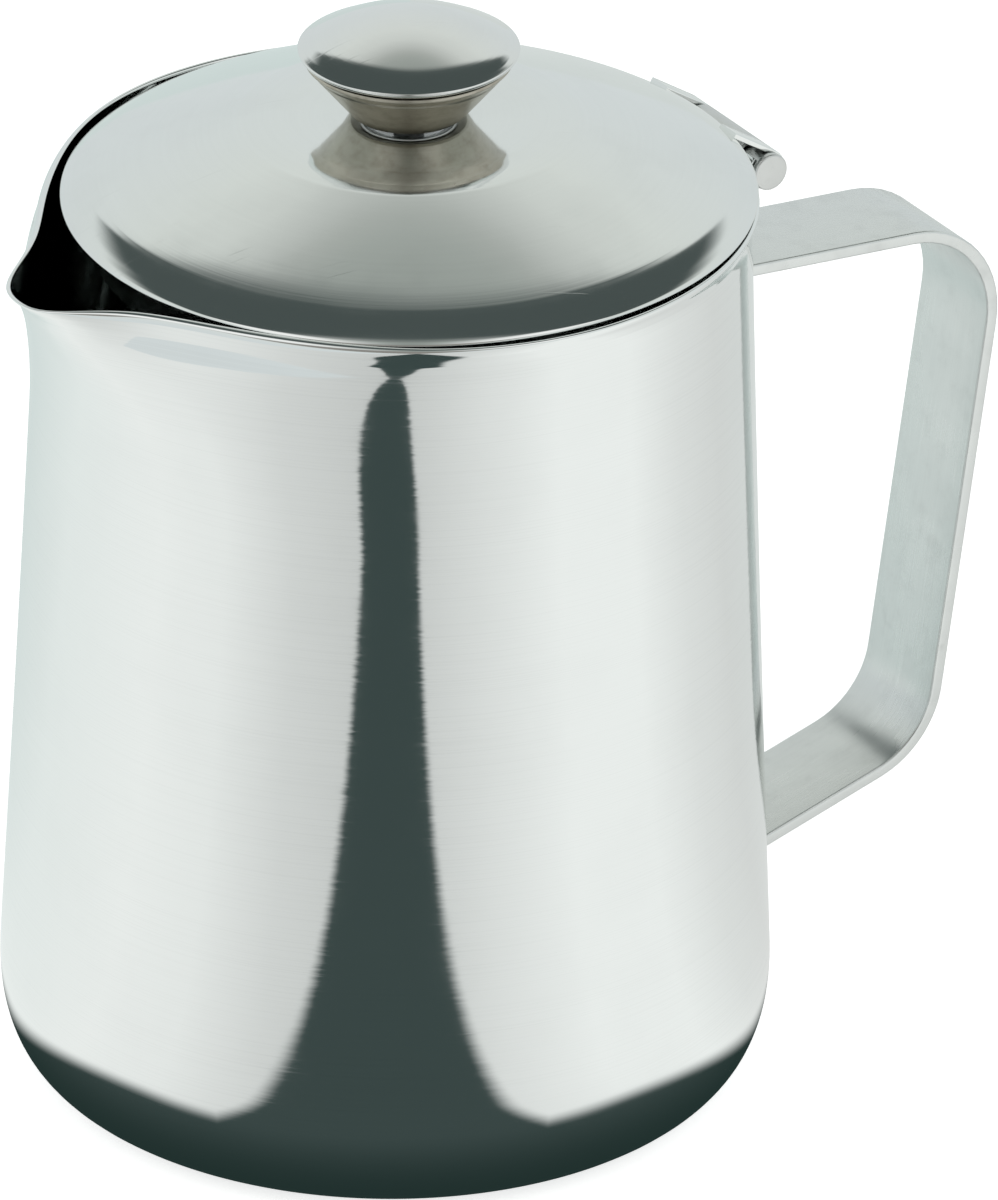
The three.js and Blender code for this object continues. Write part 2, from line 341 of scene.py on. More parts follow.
@dataclass(frozen=True)
class MirrorPolish(SteelFinish):
    """Bright polish left by a wheel run round the jug: hair lines that follow the wall."""

    line_tilt: float = 0.02
    line_pitch: float = 0.45

    def work(self, bench: Bench, shader: bpy.types.Node, place: Wire) -> None:
        """Sets tint, roughness and hair lines.

        Args:
            bench: the material's node tree.
            shader: its Principled shader.
            place: object coordinates, in metres.
        """
        x, y, z = bench.split(place)
        radius = (x * x + y * y).root() + 1e-6
        fine = 1.0 / (self.line_pitch * MM)
        lines = bench.noise(bench.join(x * 42.0, y * 42.0, z * fine), 1.0, 2.0, 0.6)
        hairs = bench.noise(bench.join(x * 18.0, y * 18.0, z * fine * 2.6), 1.0, 1.0)
        haze = self.clouds(bench, place)
        tone = hairs.ramp(0.45, 0.75) * 0.35 + haze * 0.2
        rough = haze * self.smudge + hairs.ramp(0.5, 0.8) * 0.04 + self.roughness
        self.coat(bench, shader, tone, (0.93, 0.93, 0.93), rough)
        tilt = (lines - 0.5) * self.line_tilt
        lean = bench.join(y * tilt / radius * -1.0, x * tilt / radius, (hairs - 0.5) * (self.line_tilt * 0.6))
        facing = bench.wire("ShaderNodeNewGeometry", {}, {}, "Normal")
        turned = bench.wire("ShaderNodeVectorMath", {"operation": "ADD"}, {0: facing, 1: lean})
        unit = bench.wire("ShaderNodeVectorMath", {"operation": "NORMALIZE"}, {0: turned})
        bench.plug(shader.inputs["Normal"], unit)


@dataclass(frozen=True)
class SatinBrushed(SteelFinish):
    """Belt-brushed strip: grain along the strip, smudges and a few dull marks."""

    def work(self, bench: Bench, shader: bpy.types.Node, place: Wire) -> None:
        """Sets tint, roughness and grain.

        Args:
            bench: the material's node tree.
            shader: its Principled shader.
            place: object coordinates, in metres.
        """
        x, y, z = bench.split(place)
        grain = bench.noise(bench.join(x * 60.0, y * 4200.0, z * 60.0), 1.0, 3.0, 0.6)
        mottle = bench.noise(place, 260.0, 4.0, 0.6)
        haze = self.clouds(bench, place)
        marks = bench.noise(place, 120.0, 3.0, 0.55).ramp(0.62, 0.74)
        tone = marks * 0.3 + mottle.ramp(0.45, 0.8) * 0.25 + grain * 0.25
        rough = haze * self.smudge + grain * 0.12 + (self.roughness - 0.06)
        self.coat(bench, shader, tone, (0.72, 0.72, 0.72), rough)
        self.relief(bench, shader, grain + mottle * 0.6, 0.35, 0.03)


@dataclass(frozen=True)
class Turned(SteelFinish):
    """Lathe-turned steel: fine tool rings round an upright axis, and a warm, worn tone."""

    axis_x: float = 0.0
    ring_pitch: float = 0.35

    def work(self, bench: Bench, shader: bpy.types.Node, place: Wire) -> None:
        """Sets tint, roughness and tool rings.

        Args:
            bench: the material's node tree.
            shader: its Principled shader.
            place: object coordinates, in metres.
        """
        x, y, z = bench.split(place)
        across = x - self.axis_x * MM
        radius = (across * across + y * y).root()
        fine = 1.0 / (self.ring_pitch * MM)
        rings = bench.noise(bench.join(radius * fine, across * 60.0, z * fine + y * 60.0), 1.0, 2.0, 0.7)
        mottle = bench.noise(place, 420.0, 4.0, 0.65)
        haze = self.clouds(bench, place)
        tone = rings * 0.5 + mottle.ramp(0.4, 0.75) * 0.45
        rough = haze * self.smudge + mottle * 0.14 + (self.roughness - 0.07)
        self.coat(bench, shader, tone, (0.62, 0.6, 0.56), rough)
        self.relief(bench, shader, rings + mottle * 0.5, 0.45, 0.04)


@dataclass(frozen=True)
class LidPolish(SteelFinish):
    """Spun and buffed sheet: almost a mirror, with faint rings and a few hairline scratches."""

    axis_x: float = 0.0

    def work(self, bench: Bench, shader: bpy.types.Node, place: Wire) -> None:
        """Sets tint, roughness and buffing marks.

        Args:
            bench: the material's node tree.
            shader: its Principled shader.
            place: object coordinates, in metres.
        """
        x, y, z = bench.split(place)
        across = x - self.axis_x * MM
        radius = (across * across + y * y).root()
        rings = bench.noise(bench.join(radius * 1800.0, across * 30.0, y * 30.0), 1.0, 2.0, 0.6)
        scratch = bench.noise(bench.join(x * 900.0 + y * 2600.0, y * 160.0, z * 160.0), 1.0, 1.0)
        cut = scratch.ramp(0.74, 0.8)
        haze = self.clouds(bench, place)
        rough = haze * self.smudge + rings * 0.04 + cut * 0.1 + self.roughness
        self.coat(bench, shader, haze * 0.25 + rings * 0.3 + cut * 0.4, (0.9, 0.9, 0.9), rough)
        self.relief(bench, shader, rings + cut, 0.08, 0.02)


@dataclass
class FinishRack:
    """Every finish, built once."""

    lid_axis: float

    def __post_init__(self) -> None:
        """Builds the materials."""
        bright: Colour = (0.86, 0.88, 0.875)
        self.jug = MirrorPolish("jug_mirror_polish", bright, 0.05, 0.03).build()
        inside: Colour = (0.72, 0.75, 0.745)
        self.inside = MirrorPolish("jug_inside_polish", inside, 0.13, 0.05, 0.05, 0.35).build()
        self.lid = LidPolish("lid_buffed_polish", (0.85, 0.87, 0.86), 0.055, 0.04, self.lid_axis).build()
        self.cap = LidPolish("knob_cap_polish", (0.84, 0.85, 0.84), 0.05, 0.03, self.lid_axis).build()
        self.strap = SatinBrushed("strap_satin_brush", (0.79, 0.81, 0.8), 0.27, 0.08).build()
        self.turned = Turned("knob_turned_steel", (0.52, 0.495, 0.43), 0.3, 0.06, self.lid_axis).build()
        self.plain = SteelFinish("plain_mill_steel", (0.68, 0.69, 0.68), 0.32, 0.08).build()
        self.rolled = LidPolish("skirt_rolled_steel", (0.78, 0.8, 0.79), 0.12, 0.06, self.lid_axis).build()


# Geometry Nodes shapes


def new_shape_tree(name: str, sizes: dict[str, float]) -> tuple[Bench, dict[str, Wire]]:
    """Starts a Geometry Nodes tree with named inputs, the last of them the material.

    Args:
        name: the tree's name.
        sizes: default value by input name; a whole number makes a whole-number input.

    Returns:
        The bench and a wire for each input, with the incoming geometry as "Geometry".
    """
    tree = bpy.data.node_groups.new(name, "GeometryNodeTree")
    tree.interface.new_socket("Geometry", in_out="OUTPUT", socket_type="NodeSocketGeometry")
    tree.interface.new_socket("Geometry", in_out="INPUT", socket_type="NodeSocketGeometry")
    for label, default in sizes.items():
        kind = "NodeSocketInt" if isinstance(default, int) else "NodeSocketFloat"
        tree.interface.new_socket(label, in_out="INPUT", socket_type=kind).default_value = default
    tree.interface.new_socket("Material", in_out="INPUT", socket_type="NodeSocketMaterial")
    bench = Bench(tree)
    entry = bench.node("NodeGroupInput")
    return bench, {label: Wire(bench, entry.outputs[label]) for label in ["Geometry", *sizes, "Material"]}


def finish_shape_tree(bench: Bench, shape: Wire, material: Wire) -> bpy.types.NodeTree:
    """Ends a tree in smooth shading, Realize Instances and Set Material.

    Args:
        bench: the tree's bench.
        shape: the geometry so far.
        material: the material input.

    Returns:
        The tree.
    """
    smooth = bench.wire("GeometryNodeSetShadeSmooth", {}, {"Geometry": shape})
    real = bench.wire("GeometryNodeRealizeInstances", {}, {"Geometry": smooth})
    dressed = bench.wire("GeometryNodeSetMaterial", {}, {"Geometry": real, "Material": material})
    bench.node("NodeGroupOutput", {}, {"Geometry": dressed})
    return bench.tree


def spinning_tree() -> bpy.types.NodeTree:
    """Builds the tree that spins a profile about an upright axis and can pull a spout out of it.

    The incoming mesh is a line of points whose X is the radius and Z the height, in millimetres.
    The spout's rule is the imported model's: a bell round the spout's middle, narrow at the lip and wide at
    the throat, that fades out down the wall, and beside it the wall is drawn in a little.

    Returns:
        The tree.
    """
    sizes = {
        "Segments": 256,
        "Centre X": 0.0,
        "Spout Reach": 0.0,
        "Spout Drop": 0.0,
        "Lip Half Angle": 10.0,
        "Throat Half Angle": 30.0,
        "Spout Power": 3.0,
        "Throat Depth": 34.0,
        "Throat Power": 1.5,
        "Draw In": 0.0,
        "Draw In Angle": 40.0,
        "Draw In Spread": 27.0,
        "Draw In Power": 4.0,
        "Lip Height": 140.0,
        "Least Radius": 26.0,
    }
    bench, size = new_shape_tree("spun_sheet", sizes)
    line = {"Geometry": size["Geometry"]}
    rows = bench.wire("GeometryNodeAttributeDomainSize", {"component": "MESH"}, line)
    columns = size["Segments"] + 1.0
    grid = bench.node("GeometryNodeMeshGrid", {}, {"Vertices X": columns, "Vertices Y": rows})
    index = bench.wire("GeometryNodeInputIndex")
    column = ((index + 0.5) / rows).floor()
    row = index - column * rows
    spot = bench.wire("GeometryNodeInputPosition")
    sampled = {**line, "Value": spot, "Index": row}
    sample = bench.wire("GeometryNodeSampleIndex", {"data_type": "FLOAT_VECTOR"}, sampled)
    radius, _, height = bench.split(sample)
    angle = column / size["Segments"] * math.tau
    off = abs(angle * math.degrees(1.0) - 180.0)
    depth = size["Throat Depth"]
    up = ((height - size["Lip Height"] + depth) / depth).most(0.0).least(1.0)
    half = size["Throat Half Angle"] + (size["Lip Half Angle"] - size["Throat Half Angle"]) * up * up
    power = size["Spout Power"]
    bell = 1.0 / (1.0 + (off / half) ** power)
    rest = 1.0 / (1.0 + (85.0 / half) ** power)
    wall = radius > size["Least Radius"]
    pull = (bell - rest).most(0.0) * up ** size["Throat Power"] * wall
    beside = (off - size["Draw In Angle"]) / size["Draw In Spread"]
    drawn = size["Draw In"] * (beside * beside * -1.0).exp() * up ** size["Draw In Power"] * wall
    reach = radius + size["Spout Reach"] * pull - drawn
    x = (reach * angle.cos() + size["Centre X"]) * MM
    y = reach * angle.sin() * MM
    z = (height - size["Spout Drop"] * pull) * MM
    placed = {"Geometry": Wire(bench, grid.outputs[0]), "Position": bench.join(x, y, z)}
    laid = bench.wire("GeometryNodeSetPosition", {}, placed)
    closed = bench.wire("GeometryNodeMergeByDistance", {}, {"Geometry": laid, "Distance": 1e-6})
    return finish_shape_tree(bench, closed, size["Material"])


def strip_tree() -> bpy.types.NodeTree:
    """Builds the tree that bends a flat strip with eased edges along a line.

    The incoming mesh is a line of points in the XZ plane, in metres. Its "hug" attribute says how far each
    point's edges curl back to lie on a round wall of radius "Wall Radius".

    Returns:
        The tree.
    """
    sizes = {
        "Width": 0.0178,
        "Thickness": 0.002,
        "Edge Radius": 0.0004,
        "Side Offset": 0.0,
        "Wall Radius": 0.055,
    }
    bench, size = new_shape_tree("bent_strip", sizes)
    line = bench.wire("GeometryNodeMeshToCurve", {}, {"Mesh": size["Geometry"]})
    sideways = {"Curve": line, "Normal": (0.0, 1.0, 0.0)}
    facing = bench.wire("GeometryNodeSetCurveNormal", {"mode": "FREE"}, sideways)
    across = {"Width": size["Width"], "Height": size["Thickness"]}
    section = bench.wire("GeometryNodeCurvePrimitiveQuadrilateral", {}, across)
    rounds = {"Curve": section, "Radius": size["Edge Radius"], "Count": 4}
    eased_section = bench.wire("GeometryNodeFilletCurve", {"mode": "POLY"}, rounds)
    sweep = {"Curve": facing, "Profile Curve": eased_section, "Fill Caps": True}
    swept = bench.wire("GeometryNodeCurveToMesh", {}, sweep)
    named = {"data_type": "FLOAT"}
    hug = bench.wire("GeometryNodeInputNamedAttribute", named, {"Name": "hug"}, "Attribute")
    _, y, _ = bench.split(bench.wire("GeometryNodeInputPosition"))
    wall = size["Wall Radius"]
    curl = (wall - (wall * wall - y * y).most(0.0).root()) * hug
    shift = bench.join(curl * -1.0, size["Side Offset"], 0.0)
    laid = bench.wire("GeometryNodeSetPosition", {}, {"Geometry": swept, "Offset": shift})
    return finish_shape_tree(bench, laid, size["Material"])


@dataclass
class Workshop:
    """Makes plain meshes with the two shape trees and hands them to the frame."""

    rack: FinishRack
    lid_turn: Matrix
    spinner: bpy.types.NodeTree = field(default_factory=spinning_tree)
    bender: bpy.types.NodeTree = field(default_factory=strip_tree)

    def line_object(self, name: str, points: Sequence[Sequence[float]]) -> bpy.types.Object:
        """A mesh of points joined in one line."""
        mesh = bpy.data.meshes.new(name + "_line")
        mesh.from_pydata([tuple(p) for p in points], [(i, i + 1) for i in range(len(points) - 1)], [])
        made = bpy.data.objects.new(name + "_line", mesh)
        bpy.context.scene.collection.objects.link(made)
        return made

    def shaped(
        self, name: str, source: bpy.types.Object, tree: bpy.types.NodeTree, values: dict[str, object]
    ) -> bpy.types.Object:
        """Runs a shape tree on a source line and keeps the result as a plain mesh.

        Args:
            name: the new piece's name.
            source: the line; it is deleted afterwards.
            tree: the shape tree.
            values: the tree's inputs by name.

        Returns:
            The piece.
        """
        modifier = source.modifiers.new("shape", "NODES")
        modifier.node_group = tree
        for item in tree.interface.items_tree:
            if item.item_type == "SOCKET" and item.in_out == "INPUT" and item.name in values:
                modifier[item.identifier] = values[item.name]
        depsgraph = bpy.context.evaluated_depsgraph_get()
        mesh = bpy.data.meshes.new_from_object(source.evaluated_get(depsgraph), depsgraph=depsgraph)
        source.modifiers.remove(modifier)
        bpy.data.objects.remove(source)
        mesh.name = name
        piece = bpy.data.objects.new(name, mesh)
        bpy.context.scene.collection.objects.link(piece)
        return piece

    def spin(
        self,
        name: str,
        profile: Sequence[Point],
        material: bpy.types.Material,
        segments: int = 256,
        **extra: float,
    ) -> bpy.types.Object:
        """Spins a profile of (radius, height) millimetre points into a closed sheet or solid.

        Args:
            name: the piece's name.
            profile: the points, up the outside and down the inside.
            material: the finish.
            segments: steps round the axis.
            extra: more of the tree's inputs, in small letters with underscores for spaces.

        Returns:
            The piece.
        """
        source = self.line_object(name, [(r, 0.0, z) for r, z in profile])
        values: dict[str, object] = {"Segments": segments, "Material": material}
        values.update({key.replace("_", " ").title(): value for key, value in extra.items()})
        return self.shaped(name, source, self.spinner, values)

    def bend(
        self,
        name: str,
        path: Sequence[Point],
        width: float,
        thickness: float,
        material: bpy.types.Material,
        side: float = 0.0,
        edge: float = 0.3,
        hug: Sequence[float] | None = None,
        wall: float = 60.0,
    ) -> bpy.types.Object:
        """Bends a strip along a path of (x, z) millimetre points.

        Args:
            name: the piece's name.
            path: the strip's middle line.
            width: across the strip, along Y.
            thickness: of the strip.
            material: the finish.
            side: how far the strip's middle lies from the XZ plane.
            edge: radius that the strip's edges are eased to.
            hug: for each point, the share of the wall's curve that the strip follows.
            wall: radius of that wall.

        Returns:
            The piece.
        """
        source = self.line_object(name, [(x * MM, 0.0, z * MM) for x, z in path])
        shares = source.data.attributes.new("hug", "FLOAT", "POINT")
        shares.data.foreach_set("value", list(hug) if hug else [0.0] * len(path))
        values = {
            "Width": width * MM,
            "Thickness": thickness * MM,
            "Edge Radius": edge * MM,
            "Side Offset": side * MM,
            "Wall Radius": wall * MM,
            "Material": material,
        }
        return self.shaped(name, source, self.bender, values)

    def hand_over(self, piece: bpy.types.Object, body: str, slot: Slot, *nodes: str) -> bpy.types.Object:
        """Rides a piece on its body and says which nodes it stands for.

        Args:
            piece: the finished piece.
            body: the body it moves with.
            slot: the material slot it takes its finish from; not used.
            nodes: the frame's nodes that it replaces.

        Returns:
            The same piece.
        """
        if body == "lid":
            piece.data.transform(self.lid_turn)
        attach(piece, body)
        if nodes:
            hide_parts(*nodes)
            low = [min(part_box(n)[0][i] for n in nodes) for i in range(3)]
            high = [max(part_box(n)[1][i] for n in nodes) for i in range(3)]
            mine = [v.co for v in piece.data.vertices]
            over = max(
                max(low[i] - min(c[i] for c in mine) for i in range(3)),
                max(max(c[i] for c in mine) - high[i] for i in range(3)),
            )
            LOG.info("%-16s %.2f mm past its node", piece.name, over / MM)
        LOG.info("%-16s %-4s %6d faces", piece.name, body, len(piece.data.polygons))
        return piece


# Plane drawing


def arc(centre: Point, radius: float, start: float, end: float, steps: int) -> list[Point]:
    """Points on an arc from one angle to another, in degrees, both ends included."""
    turns = [math.radians(start + (end - start) * i / steps) for i in range(steps + 1)]
    return [(centre[0] + radius * math.cos(t), centre[1] + radius * math.sin(t)) for t in turns]


def straight(start: Point, end: Point, steps: int) -> list[Point]:
    """Points on a straight line, both ends included."""
    run, rise = end[0] - start[0], end[1] - start[1]
    return [(start[0] + run * i / steps, start[1] + rise * i / steps) for i in range(steps + 1)]


def eased(points: Sequence[Point], radii: Sequence[float], steps: int = 5) -> list[Point]:
    """Rounds the inner corners of an open line.

    Args:
        points: the corners.
        radii: one radius for each; 0 keeps the corner, and the ends are kept.
        steps: steps in each round.

    Returns:
        The rounded line.
    """
    line: list[Point] = [points[0]]
    for before, here, after, radius in zip(points, points[1:], points[2:], radii[1:]):
        a = Vector((before[0] - here[0], before[1] - here[1]))
        b = Vector((after[0] - here[0], after[1] - here[1]))
        half = a.angle(b) / 2
        back = min(radius / math.tan(half), a.length * 0.49, b.length * 0.49) if radius else 0.0
        if back < 1e-4 or half > 1.56:
            line.append(here)
            continue
        a.normalize()
        b.normalize()
        middle = Vector(here) + (a + b).normalized() * (back / math.cos(half))
        first = Vector(here) + a * back - middle
        last = Vector(here) + b * back - middle
        turn = first.angle_signed(last)
        for i in range(steps + 1):
            spoke = first.copy()
            spoke.rotate(Matrix.Rotation(-turn * i / steps, 2))
            line.append((middle.x + spoke.x, middle.y + spoke.y))
    line.append(points[-1])
    return line


def smooth_line(points: Sequence[Point], steps: int) -> list[Point]:
    """A smooth line through every point, with steps between each two."""
    padded = [points[0], *points, points[-1]]
    line: list[Point] = []
    for p0, p1, p2, p3 in zip(padded, padded[1:], padded[2:], padded[3:]):
        for i in range(steps):
            t = i / steps
            mixed = []
            for k in range(2):
                slope0, slope1 = (p2[k] - p0[k]) / 2, (p3[k] - p1[k]) / 2
                gap = p2[k] - p1[k]
                square = 3 * gap - 2 * slope0 - slope1
                cube = slope0 + slope1 - 2 * gap
                mixed.append(p1[k] + slope0 * t + square * t * t + cube * t**3)
            line.append((mixed[0], mixed[1]))
    line.append(points[-1])
    return line


# The jug


# The sizes of the body that the spinning tree's spout rule takes.
SPOUT_RULE = (
    "spout_reach",
    "spout_drop",
    "lip_half_angle",
    "throat_half_angle",
    "spout_power",
    "throat_depth",
    "throat_power",
    "draw_in",
    "draw_in_angle",
    "draw_in_spread",
    "draw_in_power",
)


@dataclass
class JugBody:
    """The drawn body: tapered wall, round base corner, flared lip and pulled spout."""

    height: float = 139.8
    mouth_radius: float = 52.0
    taper: float = 0.0396
    belly: float = 5.5e-5
    wall: float = 0.9
    base: float = 1.1
    corner_height: float = 18.0
    corner_inset: float = 10.0
    corner_power: float = 2.3
    lip_flare: float = 1.1
    spout_reach: float = 11.5
    spout_drop: float = 1.8
    lip_half_angle: float = 10.2
    throat_half_angle: float = 32.0
    spout_power: float = 2.8
    throat_depth: float = 34.0
    throat_power: float = 1.9
    draw_in: float = 2.55
    draw_in_angle: float = 40.0
    draw_in_spread: float = 27.0
    draw_in_power: float = 14.0

    def radius_at(self, z: float) -> float:
        """Radius of the outside wall at a height."""
        down = self.height - z
        return self.mouth_radius + self.taper * down + self.belly * down * down

    def inset_at(self, z: float, height: float) -> float:
        """How far the base corner stands in from the wall at a height."""
        if z >= height:
            return 0.0
        share = (height - z) / height
        return self.corner_inset * (1 - (1 - share**self.corner_power) ** (1 / self.corner_power))

    def profile(self) -> list[Point]:
        """The sheet's section, from the underside up the outside, over the lip and down the inside."""
        top = self.height - 3.2
        corner_z = [self.corner_height * (1 - math.cos(math.pi / 2 * i / 26)) for i in range(27)]
        steps = 96
        wall_z = [self.corner_height + (top - self.corner_height) * i / steps for i in range(1, steps)]
        outside = [(self.radius_at(z) - self.inset_at(z, self.corner_height), z) for z in corner_z + wall_z]
        rim, h = self.mouth_radius + self.lip_flare, self.height
        lip = smooth_line(
            [
                (rim - 1.0, h - 3.0),
                (rim - 0.6, h - 1.8),
                (rim - 0.15, h - 0.9),
                (rim, h - 0.35),
                (rim - 0.15, h - 0.08),
                (rim - 0.4, h),
                (rim - 0.75, h - 0.2),
                (rim - 1.05, h - 0.85),
                (rim - 1.5, h - 1.9),
                (rim - 1.85, h - 3.0),
            ],
            5,
        )
        inner = self.corner_height - self.base
        inner_z = [self.base + inner * (1 - math.cos(math.pi / 2 * i / 14)) for i in range(15)]
        fine = [self.corner_height + (top - self.corner_height) * i / 60 for i in range(1, 60)]
        inside = [
            (self.radius_at(z) - self.wall - self.inset_at(z - self.base, inner), z) for z in inner_z + fine
        ]
        floor_out = [(r, 0.0) for r in (0.0, 12.0, 24.0, 36.0, 44.0)]
        floor_in = [(r, self.base) for r in (44.0, 36.0, 24.0, 12.0, 0.0)]
        return [*floor_out, *outside, *lip, *reversed(inside), *floor_in]

    def build(self, shop: Workshop) -> bpy.types.Object:
        """Spins the body, pulls the spout and gives the inside its own finish."""
        piece = shop.spin(
            "jug_shell_sheet",
            self.profile(),
            shop.rack.jug,
            360,
            lip_height=self.height,
            least_radius=self.mouth_radius / 2,
            **{name: getattr(self, name) for name in SPOUT_RULE},
        )
        piece.data.materials.append(shop.rack.inside)
        for face in piece.data.polygons:
            toward_axis = face.normal.x * face.center.x + face.normal.y * face.center.y
            deep = face.center.z < (self.height - 3.0) * MM
            if deep and (toward_axis < 0 or (face.normal.z > 0.9 and face.center.z < 0.02)):
                face.material_index = 1
        return shop.hand_over(piece, "jug", Slot.JUG, "jug_shell")


@dataclass
class Strap:
    """The bent strip handle, with a foot on the wall at each end."""

    body: JugBody
    width: float = 17.8
    thickness: float = 2.0
    top: Point = (103.65, 115.25)
    low: Point = (92.5, 27.9)
    upper_slope: float = -0.058
    lower_slope: float = 0.31
    upper_bend: float = 16.5
    lower_bend: float = 15.5
    foot: float = 16.0
    gap: float = 0.3
    edge: float = 0.4

    def build(self, shop: Workshop) -> bpy.types.Object:
        """Bends the strap round its corners."""
        half = self.thickness / 2
        wall_out = self.gap + half
        upper_z = self.top[1] + (self.body.mouth_radius + 1.6 - self.top[0]) * self.upper_slope - half
        lower_z = self.low[1] + (self.body.mouth_radius + 6.6 - self.low[0]) * self.lower_slope + half
        grip = Vector((self.low[0] - self.top[0], self.low[1] - self.top[1])).normalized()
        inward = Vector((grip.y, -grip.x))
        upper = Vector((1.0, self.upper_slope)).normalized()
        lower = Vector((-1.0, -self.lower_slope)).normalized()
        corners = [Vector(self.top), Vector(self.low)]

        def crossing(p: Vector, d: Vector, q: Vector, e: Vector) -> Point:
            """Where two lines meet, each given as a point and a direction."""
            t = ((q.x - p.x) * e.y - (q.y - p.y) * e.x) / (d.x * e.y - d.y * e.x)
            return (p.x + d.x * t, p.y + d.y * t)

        below_upper = corners[0] + Vector((upper.y, -upper.x)) * half
        inside_grip = corners[0] + inward * half
        above_lower = corners[1] + Vector((lower.y, -lower.x)) * half
        top_mid = crossing(below_upper, upper, inside_grip, grip)
        low_mid = crossing(inside_grip, grip, above_lower, lower)

        def on_wall(z: float) -> Point:
            """The foot's middle line against the wall at a height."""
            return (self.body.radius_at(z) + wall_out, z)

        wall_top = on_wall(upper_z)
        wall_low = on_wall(lower_z)
        tips = (on_wall(upper_z - self.foot + half), on_wall(lower_z + self.foot - half))
        start = crossing(below_upper, upper, Vector(wall_top), Vector(wall_top) - Vector(tips[0]))
        end = crossing(above_lower, lower, Vector(wall_low), Vector(wall_low) - Vector(tips[1]))
        bends = [0.0, 1.6, self.upper_bend - half, self.lower_bend - half, 1.6, 0.0]
        rough = eased([tips[0], start, top_mid, low_mid, end, tips[1]], bends, 14)
        path: list[Point] = []
        for a, b in zip(rough, rough[1:]):
            steps = max(1, int(math.dist(a, b) / 2.0))
            path += straight(a, b, steps)[:-1]
        path.append(rough[-1])
        hug = [1.0 - min(1.0, max(0.0, (x - self.body.radius_at(z) - wall_out - 0.1) / 3.0)) for x, z in path]
        wall = self.body.radius_at(100.0)
        steel = shop.rack.strap
        piece = shop.bend(
            "handle_strip", path, self.width, self.thickness, steel, edge=self.edge, hug=hug, wall=wall
        )
        return shop.hand_over(piece, "jug", Slot.STRAP, "handle_strap")


@dataclass
class Hinge:
    """Knuckle on the jug, two ears on the lid, and the pin through them."""

    body: JugBody
    pin_x: float = 57.3
    pin_z: float = 134.6
    pin_radius: float = 2.0
    pin_half_length: float = 12.7
    pin_head_radius: float = 2.85
    gap: float = 0.3
    sheet: float = 0.8
    knuckle_half_width: float = 7.0
    ear_inside: float = 7.3
    ear_outside: float = 11.4
    ear_slope: float = 33.0

    @property
    def barrel(self) -> float:
        """Radius of the middle of the curled sheet."""
        return self.pin_radius + self.gap + self.sheet / 2

    def knuckle_path(self) -> list[Point]:
        """The bracket's middle line: up the wall, then round the pin."""
        leg = [self.pin_z - down for down in (15.0, 12.0, 9.5, 7.0)]
        wall = [(self.body.radius_at(z) + self.gap + self.sheet / 2, z) for z in leg]
        curl = arc((self.pin_x, self.pin_z), self.barrel, 184.0, -106.0, 48)
        return [*eased([*wall, *curl[:1]], [0.0, 0.0, 1.0, 2.0, 0.0], 6), *curl[1:]]

    def ear_path(self) -> list[Point]:
        """An ear's middle line: out of the lid's sheet and round the pin."""
        touch = 90.0 - self.ear_slope
        curl = arc((self.pin_x, self.pin_z), self.barrel, touch, touch - 285.0, 48)
        slope = math.radians(self.ear_slope)
        root = (curl[0][0] - 8.5 * math.cos(slope), curl[0][1] + 8.5 * math.sin(slope))
        return [*straight(root, curl[0], 8)[:-1], *curl]

    def turned(self, degrees: float) -> Matrix:
        """The turn about the pin, positive the way that the lid opens."""
        pin = Matrix.Translation((self.pin_x * MM, 0.0, self.pin_z * MM))
        return pin @ Matrix.Rotation(math.radians(degrees), 4, "Y") @ pin.inverted()

    def build_knuckle(self, shop: Workshop) -> bpy.types.Object:
        """Bends the jug's knuckle."""
        width = self.knuckle_half_width * 2
        piece = shop.bend("hinge_knuckle", self.knuckle_path(), width, self.sheet, shop.rack.plain, edge=0.12)
        return shop.hand_over(piece, "jug", Slot.PLAIN, "hinge_bracket")

    def build_pin(self, shop: Workshop) -> bpy.types.Object:
        """Turns the pin and lays it across."""
        r, h, head = self.pin_radius, self.pin_half_length, self.pin_head_radius
        under = self.ear_outside + self.gap
        corners = [(0.0, h), (head, h), (head, under), (r, under), (r, 0.0)]
        end = eased(corners, [0.0, 0.35, 0.1, 0.05, 0.0], 4)
        profile = [(a, -b) for a, b in end] + [(a, b) for a, b in reversed(end[:-1])]
        piece = shop.spin("hinge_rod", profile, shop.rack.plain, 64)
        spot = Matrix.Translation((self.pin_x * MM, 0.0, self.pin_z * MM))
        piece.data.transform(spot @ Matrix.Rotation(math.pi / 2, 4, "X"))
        return shop.hand_over(piece, "jug", Slot.PLAIN, "hinge_pin")

    def build_ears(self, shop: Workshop) -> list[bpy.types.Object]:
        """Bends the lid's two ears, still loose."""
        middle = (self.ear_inside + self.ear_outside) / 2
        width = self.ear_outside - self.ear_inside
        path, steel = self.ear_path(), shop.rack.lid
        return [
            shop.bend(f"ear_{i}", path, width, self.sheet, steel, side=middle * sign, edge=0.15)
            for i, sign in enumerate((-1.0, 1.0))
        ]


# The lid


# How far in from the lid's rim and up from its underside, round the turned-down edge.
EDGE: tuple[Point, ...] = (
    (4.0, 2.96),
    (3.0, 2.43),
    (2.0, 1.86),
    (1.2, 1.36),
    (0.6, 0.96),
    (0.2, 0.65),
    (0.0, 0.35),
    (0.1, 0.12),
    (0.4, 0.0),
    (0.9, 0.05),
    (1.3, 0.25),
)


